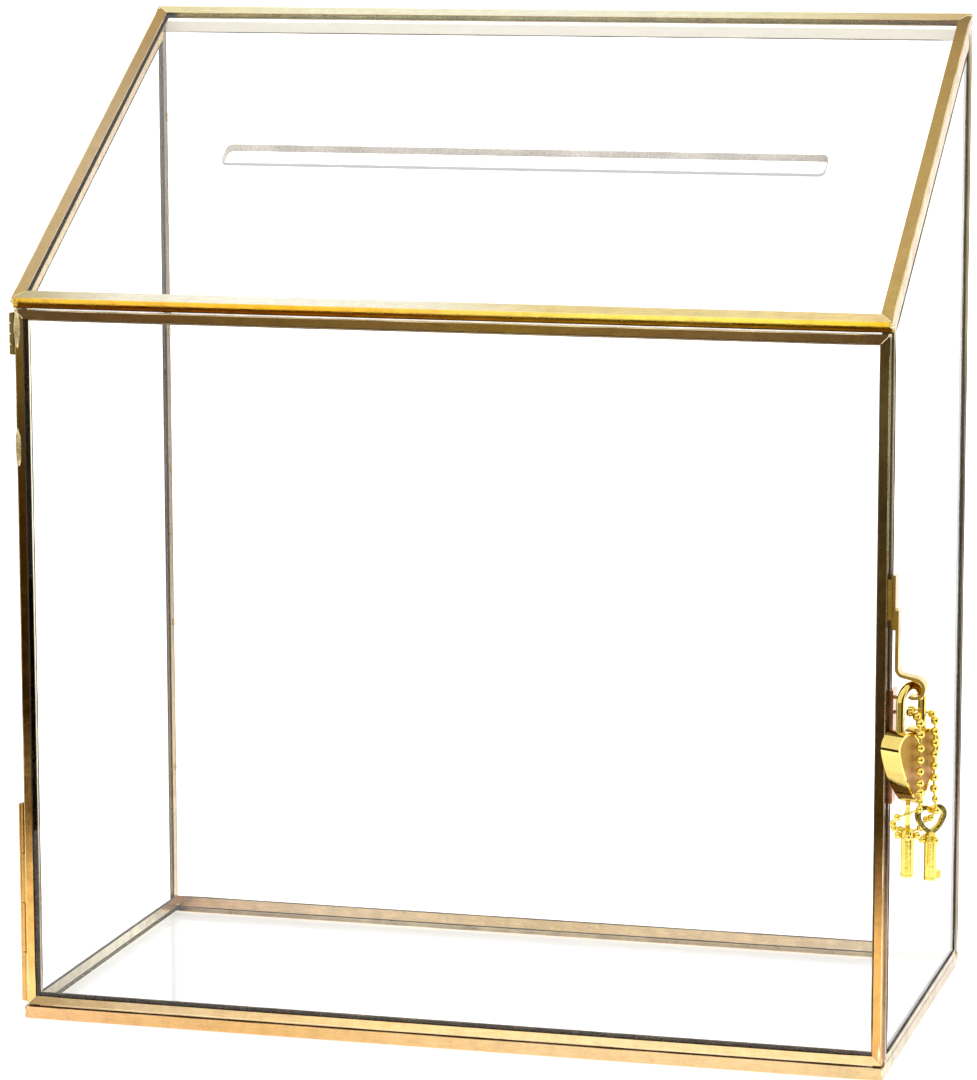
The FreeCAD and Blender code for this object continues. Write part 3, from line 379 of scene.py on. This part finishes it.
def dress_faces(obj, extra, rule):
    """Gives some faces of a piece another material: rule takes a face's centre and normal and gives an index."""
    for m_ in extra:
        obj.data.materials.append(m_)
    for p_ in obj.data.polygons:
        p_.material_index = rule(p_.center, p_.normal)


roof_n = Vector((0, -math.sin(math.radians(31.02)), math.cos(math.radians(31.02))))
dress_faces(NODES["roof_glass"], [M["slot"], M["slot_low"]],
            lambda c, n: 0 if abs(n.dot(roof_n)) > 0.5 or abs(c.x - 0.0075) > 0.1075 or abs(c.y + 0.0025) > 0.009
            else (2 if n.y > 0.3 else 1))
# the web of the front channel takes its own tone, with its own painted reflections
dress_faces(NODES["roof_front_channel"], [M["roof_web"]], lambda c, n: 1 if n.dot(roof_n) < 0.5 else 0)


def base_rule(c, n):
    if c.y < -0.0724 and abs(c.x) < 0.1485 and n.y < 0.5:
        return 0
    if c.x > 0.1455 and c.y < 0.0735:
        return 1
    if c.x < -0.1455 and c.y < 0.0735:
        return 3
    return 2 if c.y > 0.07 else 0


# each side of the binding takes its own tone, so its painted reflections and shade differ side by side
dress_faces(NODES["bottom_binding"], [M["right_bottom"], M["base_back"], M["low_side"]], base_rule)

# -------------------------------------------------------------- small metalwork


def new_mesh(name, verts, faces, mat, smooth=True):
    me = bpy.data.meshes.new(name)
    me.from_pydata([tuple(v) for v in verts], [], faces)
    me.update()
    if smooth:
        for p_ in me.polygons:
            p_.use_smooth = True
    me.materials.append(mat)
    o = bpy.data.objects.new(name, me)
    bpy.context.scene.collection.objects.link(o)
    return o


def rod(verts, faces, a, b, rad, sides=8, wob=0.12, pieces=26):
    """A soldered bead drawn from a to b: its thickness wavers a little along the way."""
    a, b = Vector(a), Vector(b)
    ax_ = (b - a).normalized()
    side = ax_.cross(Vector((0, 0, 1)) if abs(ax_.z) < 0.9 else Vector((1, 0, 0))).normalized()
    top = ax_.cross(side)
    base = len(verts)
    for i in range(pieces + 1):
        c = a.lerp(b, i / pieces)
        rr = rad * (1 + wob * random.uniform(-1, 1)) * (0.55 if i in (0, pieces) else 1.0)
        for k in range(sides):
            t = 2 * math.pi * k / sides
            verts.append(c + (side * math.cos(t) + top * math.sin(t)) * rr)
    for i in range(pieces):
        for k in range(sides):
            k2 = (k + 1) % sides
            faces.append((base + i * sides + k, base + i * sides + k2, base + (i + 1) * sides + k2, base + (i + 1) * sides + k))
    faces.append(tuple(base + k for k in reversed(range(sides))))
    faces.append(tuple(base + pieces * sides + k for k in range(sides)))


def blob(verts, faces, c, size, seed, rings=7, sides=12):
    """A lump of solder, longer or flatter by size (x, y, z), with an uneven skin."""
    rnd = random.Random(seed)
    ph = [rnd.uniform(0, 6.28) for _ in range(4)]
    base = len(verts)
    c = Vector(c)
    for i in range(rings + 1):
        th = math.pi * (0.04 + 0.92 * i / rings)
        for k in range(sides):
            t = 2 * math.pi * k / sides
            f = 1 + 0.16 * math.sin(2 * t + ph[0]) * math.sin(th) + 0.10 * math.sin(3 * t + ph[1] + 2 * th) + 0.08 * math.sin(5 * th + ph[2])
            verts.append(c + Vector((size[0] * f * math.sin(th) * math.cos(t), size[1] * f * math.sin(th) * math.sin(t),
                                     size[2] * f * math.cos(th))))
    for i in range(rings):
        for k in range(sides):
            k2 = (k + 1) % sides
            faces.append((base + i * sides + k, base + (i + 1) * sides + k, base + (i + 1) * sides + k2, base + i * sides + k2))
    faces.append(tuple(base + k for k in range(sides)))
    faces.append(tuple(base + rings * sides + k for k in reversed(range(sides))))


W2, YF, YB, T = 150.0, -76.5, 76.5, 4.0
TA, SA_, CA_ = math.tan(math.radians(31.02)), math.sin(math.radians(31.02)), math.cos(math.radians(31.02))
UNDER = 250.0 - T / CA_ - 0.05
ZS, ZE = UNDER + 4.3 * TA, UNDER + 149.0 * TA
PANES = {
    "bottom": ([(-W2, YF, 0), (W2, YF, 0), (W2, YB, 0), (-W2, YB, 0)], (0, 0, -1), 3.0, 3.8, "frame"),
    "rear": ([(-W2, YB, T), (W2, YB, T), (W2, YB, ZE), (-W2, YB, ZE)], (0, 1, 0), 3.0, 3.8, "frame"),
    "left": ([(-W2, YF + 4.3, T), (-W2, YF + 149, T), (-W2, YF + 149, ZE), (-W2, YF + 4.3, ZS)], (-1, 0, 0), 3.0, 3.8, "frame"),
    "right": ([(W2, YF + 149, T), (W2, YF + 4.3, T), (W2, YF + 4.3, ZS), (W2, YF + 149, ZE)], (1, 0, 0), 3.0, 3.8, "frame"),
    "roof": ([(W2, YF, 250), (-W2, YF, 250), (-W2, YF + 152.5, 250 + 152.5 * TA), (W2, YF + 152.5, 250 + 152.5 * TA)],
             (0, -SA_, CA_), 4.2, 4.6, "frame"),
    "door": ([(149.5, YF, 5), (-148.9, YF, 5), (-148.9, YF, 246), (149.5, YF, 246)], (0, -1, 0), 3.0, 3.8, "door"),
}
trim = {}


def bucket(body, mat):
    return trim.setdefault((body, mat), ([], []))


def inset(pts, n, dist):
    """The outline of a pane moved towards its middle by dist."""
    out = []
    count = len(pts)
    mid = sum(pts, Vector()) / count
    lines = []
    for i in range(count):
        p, q = pts[i], pts[(i + 1) % count]
        e = (q - p).normalized()
        inw = n.cross(e)
        if inw.dot(mid - p) < 0:
            inw = -inw
        lines.append((p + inw * dist, e))
    for i in range(count):
        p1, e1 = lines[i - 1]
        p2, e2 = lines[i]
        w = p2 - p1
        a11, a12, a22 = e1.dot(e1), -e1.dot(e2), e2.dot(e2)
        b1, b2 = w.dot(e1), -w.dot(e2)
        det = a11 * a22 - a12 * a12
        t1 = (b1 * a22 - b2 * a12) / det
        out.append(p1 + e1 * t1)
    return out


for name, (corners, normal, lo_w, li_w, body) in PANES.items():
    pts = [Vector(c) * MM for c in corners]
    n = Vector(normal)
    # painted shade along the lips' free edges, outside and inside: dark lines, and on the roof pale lines of painted
    # reflection
    outer = inset(pts, n, (lo_w + 0.02) * MM)
    inner = inset(pts, n, (li_w + 0.02) * MM)
    mat_o = "patina_dark" if name in ("door", "right") else "dark_back"
    mat_i = "patina_dark" if name in ("left", "bottom") else "dark_back"
    if name == "roof":
        mat_o = mat_i = "pale_edge"
    for i in range(len(pts)):
        if name == "bottom":            # nothing stands proud underneath: the box rests on this face
            v, f = bucket(body, mat_i)
            rod(v, f, inner[i] - n * 3.84 * MM, inner[(i + 1) % 4] - n * 3.84 * MM, 0.30 * MM)
            continue
        v, f = bucket(body, mat_o)
        r_o = {"door": 0.24, "right": 0.38, "roof": 0.17}.get(name, 0.18) * MM
        rod(v, f, outer[i] - n * 0.16 * MM, outer[(i + 1) % 4] - n * 0.16 * MM, r_o)
        v, f = bucket(body, mat_i)
        rod(v, f, inner[i] - n * 3.84 * MM, inner[(i + 1) % 4] - n * 3.84 * MM, {"door": 0.14, "left": 0.34, "bottom": 0.30}.get(name, 0.24) * MM)
    # painted highlight round the outside arris
    if name in ("roof", "door"):
        arris = inset(pts, n, 0.22 * MM)
        for i in range(len(pts)):
            v, f = bucket(body, "bright_edge")
            rod(v, f, arris[i] - n * 0.16 * MM, arris[(i + 1) % 4] - n * 0.16 * MM, 0.2 * MM)
    # mitres: a raised solder seam across each corner
    for i in range(len(pts) if name != "bottom" else 0):
        v, f = bucket(body, "solder")
        rod(v, f, pts[i].lerp(outer[i], 0.12) - n * 0.10 * MM, outer[i] - n * 0.10 * MM, 0.2 * MM, wob=0.3, pieces=9)

# painted shadow in the joints under and above the door and along the right foot, then the soldered joints between panes
v, f = bucket("frame", "dark_edge")
rod(v, f, (-0.1496, -0.0762, 0.00436), (0.1496, -0.0762, 0.00436), 0.33 * MM)
rod(v, f, (-0.1496, -0.0760, 0.24668), (0.1496, -0.0760, 0.24668), 0.2 * MM)
rod(v, f, (0.14985, -0.0722, 0.0042), (0.14985, 0.0725, 0.0042), 0.22 * MM)
# tarnish with painted shade and painted reflections down the right rear corner
v, f = bucket("frame", "patina_rear")
rod(v, f, (0.14995, 0.0722, 0.0045), (0.14995, 0.0722, 0.334), 0.42 * MM)
rod(v, f, (0.14990, 0.0763, 0.0045), (0.14990, 0.0763, 0.336), 0.30 * MM)
# the same tarnish with painted shade and painted reflections down the right front joint
v, f = bucket("frame", "patina_front")
rod(v, f, (0.15000, -0.0721, 0.1300), (0.15000, -0.0721, 0.2440), 0.30 * MM)
rod(v, f, (0.15000, -0.0721, 0.0060), (0.15000, -0.0721, 0.0900), 0.26 * MM)
v, f = bucket("frame", "solder")
k = 0
for (x, y, z, sx, sy, sz) in [
    (-0.1497, -0.0762, 0.2489, 0.7, 0.6, 0.9), (0.1497, -0.0762, 0.2489, 0.7, 0.6, 0.9),
    (-0.1497, 0.0750, 0.3405, 0.8, 0.8, 0.8), (0.1497, 0.0750, 0.3405, 0.8, 0.8, 0.8),
    (-0.1498, -0.0763, 0.0028, 0.5, 0.5, 1.4), (0.1498, -0.0763, 0.0028, 0.5, 0.5, 1.6),
    (0.1498, 0.0763, 0.0035, 0.6, 0.6, 1.6), (-0.1498, 0.0763, 0.0035, 0.6, 0.6, 1.6),
    (-0.1466, 0.0727, 0.0046, 1.3, 1.0, 0.5), (0.1466, 0.0727, 0.0046, 1.3, 1.0, 0.5),
]:
    k += 1
    blob(v, f, (x, y, z), (sx * MM, sy * MM, sz * MM), k)
# tacks of solder up the back left joint
for z in (0.058, 0.113, 0.171, 0.222, 0.262, 0.300):
    k += 1
    blob(v, f, (-0.1460, 0.0724, z), (0.55 * MM, 0.45 * MM, random.uniform(0.9, 1.8) * MM), k)
v, f = bucket("door", "solder")
for (x, y, z, sx, sy, sz) in [
    (-0.1481, -0.07655, 0.2398, 1.15, 0.16, 6.0), (-0.1484, -0.07655, 0.1990, 0.95, 0.16, 6.2),
    (-0.1486, -0.0762, 0.2457, 0.7, 0.5, 0.7), (0.1492, -0.0762, 0.2457, 0.6, 0.5, 0.6),
    (-0.1486, -0.0762, 0.0055, 0.6, 0.5, 0.8), (0.1488, -0.0763, 0.0090, 0.6, 0.4, 3.2),
    (0.1493, -0.0745, 0.1585, 0.5, 1.3, 7.0),
]:
    k += 1
    blob(v, f, (x, y, z), (sx * MM, sy * MM, sz * MM), k)
for (body, mat), (v, f) in trim.items():
    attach(new_mesh("%s_%s_trim" % (body, mat), v, f, M[mat]), body)

# ------------------------------------------------------------- ball chain beads
src = NODES["chain_balls"].data
seen = []
for vert in src.vertices:
    co = vert.co
    for g in seen:
        if (g[0] / g[1] - co).length < 2.55 * MM:
            g[0] += co
            g[1] += 1
            break
    else:
        seen.append([co.copy(), 1])
own = {i: [] for i in range(len(seen))}
mids = [g[0] / g[1] for g in seen]
for vert in src.vertices:
    i = min(range(len(mids)), key=lambda j: (mids[j] - vert.co).length)
    own[i].append(vert.co)
verts, faces = [], []
for i, vs in own.items():
    if not vs:
        continue
    lo_v = Vector([min(p[k_] for p in vs) for k_ in range(3)])
    hi_v = Vector([max(p[k_] for p in vs) for k_ in range(3)])
    c = (lo_v + hi_v) / 2
    base = len(verts)
    by_key = min((c - Vector(k_)).length for k_ in ((0.1642, -0.07348, 0.0880), (0.1585, -0.0841, 0.0912)))
    R, rings, sides = (1.2 if by_key < 0.0095 else 1.46) * MM, 14, 22     # a little smaller where they pass the keys
    for a_ in range(rings + 1):
        th = math.pi * (0.03 + 0.94 * a_ / rings)
        for b_ in range(sides):
            t = 2 * math.pi * b_ / sides
            rr = R * (1 - 0.05 * math.exp(-((th - math.pi / 2) / 0.07) ** 2))   # rolled seam round the bead
            verts.append(c + Vector((rr * math.sin(th) * math.cos(t), rr * math.sin(th) * math.sin(t), rr * math.cos(th))))
    for a_ in range(rings):
        for b_ in range(sides):
            b2 = (b_ + 1) % sides
            faces.append((base + a_ * sides + b_, base + (a_ + 1) * sides + b_, base + (a_ + 1) * sides + b2, base + a_ * sides + b2))
    faces.append(tuple(base + b_ for b_ in range(sides)))
    faces.append(tuple(base + rings * sides + b_ for b_ in reversed(range(sides))))
print("beads", len(own))
beads = new_mesh("chain_beads", verts, faces, M["chain"])
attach(beads, "chain")
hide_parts("chain_balls")

# ------------------------------------------------- rounded bows of the two keys


def bow_path(count=16):
    """Middle line of a key's heart bow, in mm: across, up."""
    lobe, off, zc, tip = 3.21 - 0.75, 2.39, 1.79, -4.1
    pts = []
    notch = math.acos(-off / lobe) if off < lobe else math.pi
    for i in range(count + 1):
        a_ = notch + (math.radians(-15) - notch) * i / count
        pts.append((off + lobe * math.cos(a_), zc + lobe * math.sin(a_)))
    x0, y0 = pts[-1]
    for i in range(1, 9):
        t = i / 8
        bulge = 0.75 * math.sin(math.pi * t)
        pts.append((x0 * (1 - t) + 0.25 * t + bulge * 0.7, y0 * (1 - t) + tip * t - bulge * 0.5))
    return pts + [(-x, y) for x, y in reversed(pts)]


def tube_loop(verts, faces, pts, rad, sides=10):
    """A closed round tube along pts."""
    base = len(verts)
    count = len(pts)
    for i in range(count):
        tangent = (pts[(i + 1) % count] - pts[i - 1]).normalized()
        face_n = tube_loop.normal
        side = tangent.cross(face_n).normalized()
        for k_ in range(sides):
            t = 2 * math.pi * k_ / sides
            verts.append(pts[i] + (side * math.cos(t) + face_n * math.sin(t)) * rad)
    for i in range(count):
        for k_ in range(sides):
            a1, a2 = base + i * sides, base + ((i + 1) % count) * sides
            k2 = (k_ + 1) % sides
            faces.append((a1 + k_, a1 + k2, a2 + k2, a2 + k_))


for kname, mid, ang in (("key_a", (164.2, -73.48, 88.0), -50.0), ("key_b", (158.5, -84.1, 91.2), 9.6)):
    nn = Vector((math.cos(math.radians(ang)), math.sin(math.radians(ang)), 0))
    ww = Vector((-nn.y, nn.x, 0))
    path = [(Vector(mid) + ww * x + Vector((0, 0, y))) * MM for x, y in bow_path()]
    tube_loop.normal = nn
    verts, faces = [], []
    tube_loop(verts, faces, path, 0.83 * MM)
    # turned collars at the top and foot of the barrel
    for z_, r_, t_ in ((-7.0, 2.24, 0.28), (-19.2, 2.2, 0.22)):
        c = (Vector(mid) + Vector((0, 0, z_))) * MM
        ring = [c + (ww * math.cos(2 * math.pi * i / 20) + nn * math.sin(2 * math.pi * i / 20)) * (r_ - 0.1) * MM for i in range(20)]
        base = len(verts)
        for i in range(20):
            out_ = (ring[i] - c).normalized()
            for k_ in range(8):
                t = 2 * math.pi * k_ / 8
                verts.append(ring[i] + (out_ * math.cos(t) + Vector((0, 0, 1)) * math.sin(t)) * t_ * MM)
        for i in range(20):
            for k_ in range(8):
                a1, a2 = base + i * 8, base + ((i + 1) % 20) * 8
                k2 = (k_ + 1) % 8
                faces.append((a1 + k_, a1 + k2, a2 + k2, a2 + k_))
    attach(new_mesh(kname + "_round_bow", verts, faces, M["key"]), kname)

# -------------------------------------------------------------------- stage
WHITE = 1.12


def stage_material(name, colour, emission):
    t = Tree(name)
    g = t.noise(t.coords(), 3.0, 2.0)
    c = t.ramp(g, [(0.2, colour), (0.8, tuple(min(1.0, v * 1.01) for v in colour[:3]) + (1.0,))])
    t.link(c, t.b.inputs["Base Color"])
    t.b.inputs["Roughness"].default_value = 0.9
    t.b.inputs["Emission Color"].default_value = (1, 1, 1, 1)
    t.b.inputs["Emission Strength"].default_value = emission
    return t.m


def flat_mesh(name, verts, faces, mat):
    me = bpy.data.meshes.new(name)
    me.from_pydata([tuple(v) for v in verts], [], faces)
    me.update()
    o = bpy.data.objects.new(name, me)
    bpy.context.scene.collection.objects.link(o)
    me.materials.append(mat)
    return o


paper = stage_material("pale_paper", (0.9, 0.9, 0.9, 1), 0.62)
floor_v, floor_f = [], []
ys = [-0.42, 0.2, 1.2, 2.2, 2.6, 2.85, 3.0, 3.05]
zs = [-0.0004, -0.0004, -0.0004, -0.0004, 0.03, 0.14, 0.40, 3.0]
for i, (y, z) in enumerate(zip(ys, zs)):
    floor_v += [(-3.0, y, z), (3.0, y, z)]
    if i:
        floor_f.append((2 * i - 2, 2 * i - 1, 2 * i + 1, 2 * i))
floor = flat_mesh("paper_sweep", floor_v, floor_f, paper)
for p in floor.data.polygons:
    p.use_smooth = True
floor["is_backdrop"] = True

# the same pale paper on the near side, which only the polished parts don't mirror
near = flat_mesh("paper_front", [(-3, -0.42, -0.0004), (3, -0.42, -0.0004), (3, -5, -0.0004), (-3, -5, -0.0004)],
                 [(0, 1, 2, 3)], paper)
near.visible_glossy = False
near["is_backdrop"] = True


def mirrored_only(o):
    """A studio flag: it shows as a dark line in polished metal, and nowhere else."""
    o.visible_camera = False
    o.visible_diffuse = False
    o.visible_transmission = False
    o.visible_volume_scatter = False
    o.visible_shadow = False
    o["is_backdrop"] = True


dusk = Tree("dim_carpet")
gz = dusk.noise(dusk.coords(), 14.0, 3.0)
dusk.link(dusk.ramp(gz, [(0.3, (0.17, 0.14, 0.10, 1)), (0.7, (0.26, 0.22, 0.155, 1))]), dusk.b.inputs["Base Color"])
dusk.b.inputs["Roughness"].default_value = 1.0
carpet = flat_mesh("room_floor", [(-4, -0.42, -0.001), (4, -0.42, -0.001), (4, -5, -0.001), (-4, -5, -0.001)],
                   [(0, 1, 2, 3)], dusk.m)
mirrored_only(carpet)

# black cards just out of sight, which put dark lines in the polished metal
flag = Tree("black_card")
gf = flag.noise(flag.coords(), 30.0, 2.0)
flag.link(flag.ramp(gf, [(0.3, (0.006, 0.005, 0.003, 1)), (0.7, (0.014, 0.012, 0.008, 1))]), flag.b.inputs["Base Color"])
flag.b.inputs["Roughness"].default_value = 1.0
for nm, quad in {
    "card_left": [(-0.25, -0.36, 0.0), (-0.25, -0.15, 0.0), (-0.25, -0.15, 0.105), (-0.25, -0.36, 0.105)],
    "card_right": [(0.34, -0.40, 0.03), (0.34, -0.11, 0.03), (0.34, -0.11, 0.21), (0.34, -0.40, 0.21)],
}.items():
    mirrored_only(flat_mesh(nm, quad, [(0, 1, 2, 3)], flag.m))

world = bpy.data.worlds.new("studio")
bpy.context.scene.world = world
world.use_nodes = True
wt = world.node_tree
wt.nodes.clear()
wo = wt.nodes.new("ShaderNodeOutputWorld")
bg = wt.nodes.new("ShaderNodeBackground")
bg.inputs[0].default_value = (1.0, 0.995, 0.985, 1)
bg.inputs[1].default_value = WHITE
wt.links.new(bg.outputs[0], wo.inputs[0])


def area(name, loc, target, size, power, colour=(1, 1, 1)):
    ld = bpy.data.lights.new(name, "AREA")
    ld.shape = "RECTANGLE"
    ld.size, ld.size_y = size
    ld.energy = power
    ld.color = colour
    lo_ = bpy.data.objects.new(name, ld)
    bpy.context.scene.collection.objects.link(lo_)
    lo_.location = loc
    dirn = Vector(target) - Vector(loc)
    lo_.rotation_euler = dirn.to_track_quat("-Z", "Y").to_euler()
    return lo_


area("overhead_softbox", (-0.3, -0.2, 2.2), (0, 0, 0.2), (1.6, 1.6), 2.4, (1.0, 0.99, 0.97))

# ------------------------------------------------------------------- camera
yaw, pitch, roll = math.radians(15.2797), math.radians(9.2938), math.radians(-0.1035)
d = Vector((-math.sin(yaw) * math.cos(pitch), math.cos(yaw) * math.cos(pitch), -math.sin(pitch)))
r = Vector((math.cos(yaw), math.sin(yaw), 0))
u = r.cross(d)
r2 = math.cos(roll) * r + math.sin(roll) * u
u2 = -math.sin(roll) * r + math.cos(roll) * u
cam_d = bpy.data.cameras.new("camera")
cam_d.lens = 4326.2 * 36.0 / 1080.0
cam_d.sensor_width = 36.0
cam_d.clip_start = 0.05
cam_d.clip_end = 50.0
cam = bpy.data.objects.new("camera", cam_d)
bpy.context.scene.collection.objects.link(cam)
cam.matrix_world = Matrix((
    (r2.x, u2.x, -d.x, 0.38714),
    (r2.y, u2.y, -d.y, -1.43323),
    (r2.z, u2.z, -d.z, 0.40440),
    (0, 0, 0, 1)))
bpy.context.scene.camera = cam
bpy.context.scene.view_settings.view_transform = "Standard"
bpy.context.scene.view_settings.look = "None"

{"after_load": start_bounds, "before_finish": plain(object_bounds())}
